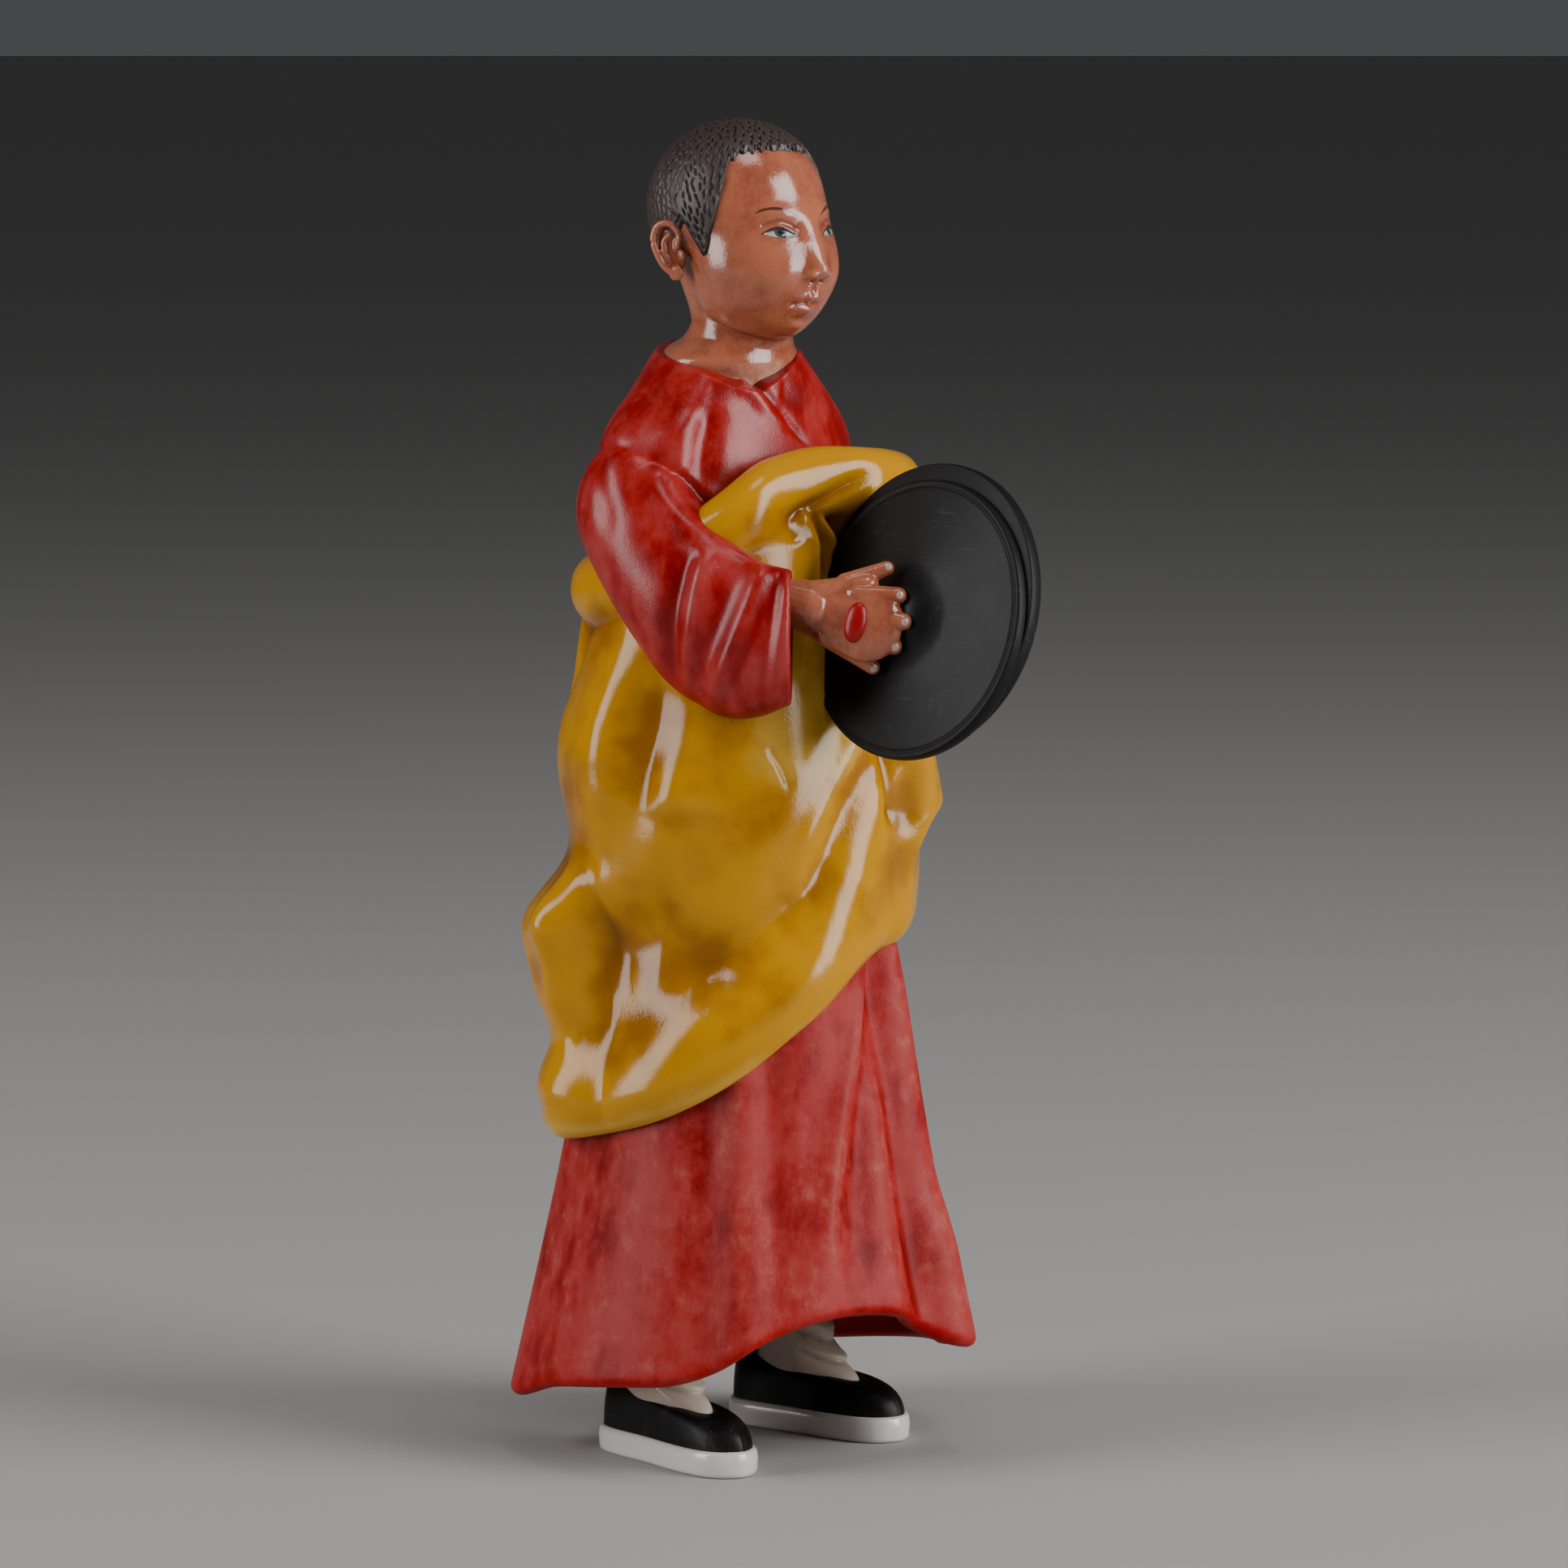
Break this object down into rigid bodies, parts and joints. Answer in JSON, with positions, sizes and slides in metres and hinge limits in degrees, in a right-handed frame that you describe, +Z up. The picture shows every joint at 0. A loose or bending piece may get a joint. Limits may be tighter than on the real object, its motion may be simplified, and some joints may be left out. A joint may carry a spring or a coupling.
{
  "type": "tibetan monk figurine",
  "caption": "Painted porcelain figurine of a standing young monk in a long red robe and a yellow shawl who holds a pair of cymbals together before the chest.",
  "frame": {"origin": "on the ground below the middle of the bounding box, between the shoes and 11 mm in front of the body's own axis", "axes": "+Z up; the figure faces -Y, and its left hand side is +X"},
  "size_m": [0.0688, 0.0908, 0.2],
  "materials": {
    "red_enamel": "brushed red enamel, satin, rubbed paler on the high places",
    "yellow_glaze": "glossy yellow glaze, darker where it pools in the folds",
    "skin_glaze": "glossy flesh-coloured glaze with painted features",
    "hair_enamel": "matt dark brown enamel over engraved short hair",
    "black_enamel": "satin black enamel with fine brush marks",
    "white_glaze": "clear glaze over the white body"
  },
  "bodies": {
    "root": {"monk_figurine": "red_enamel"}
  },
  "joints": []
}
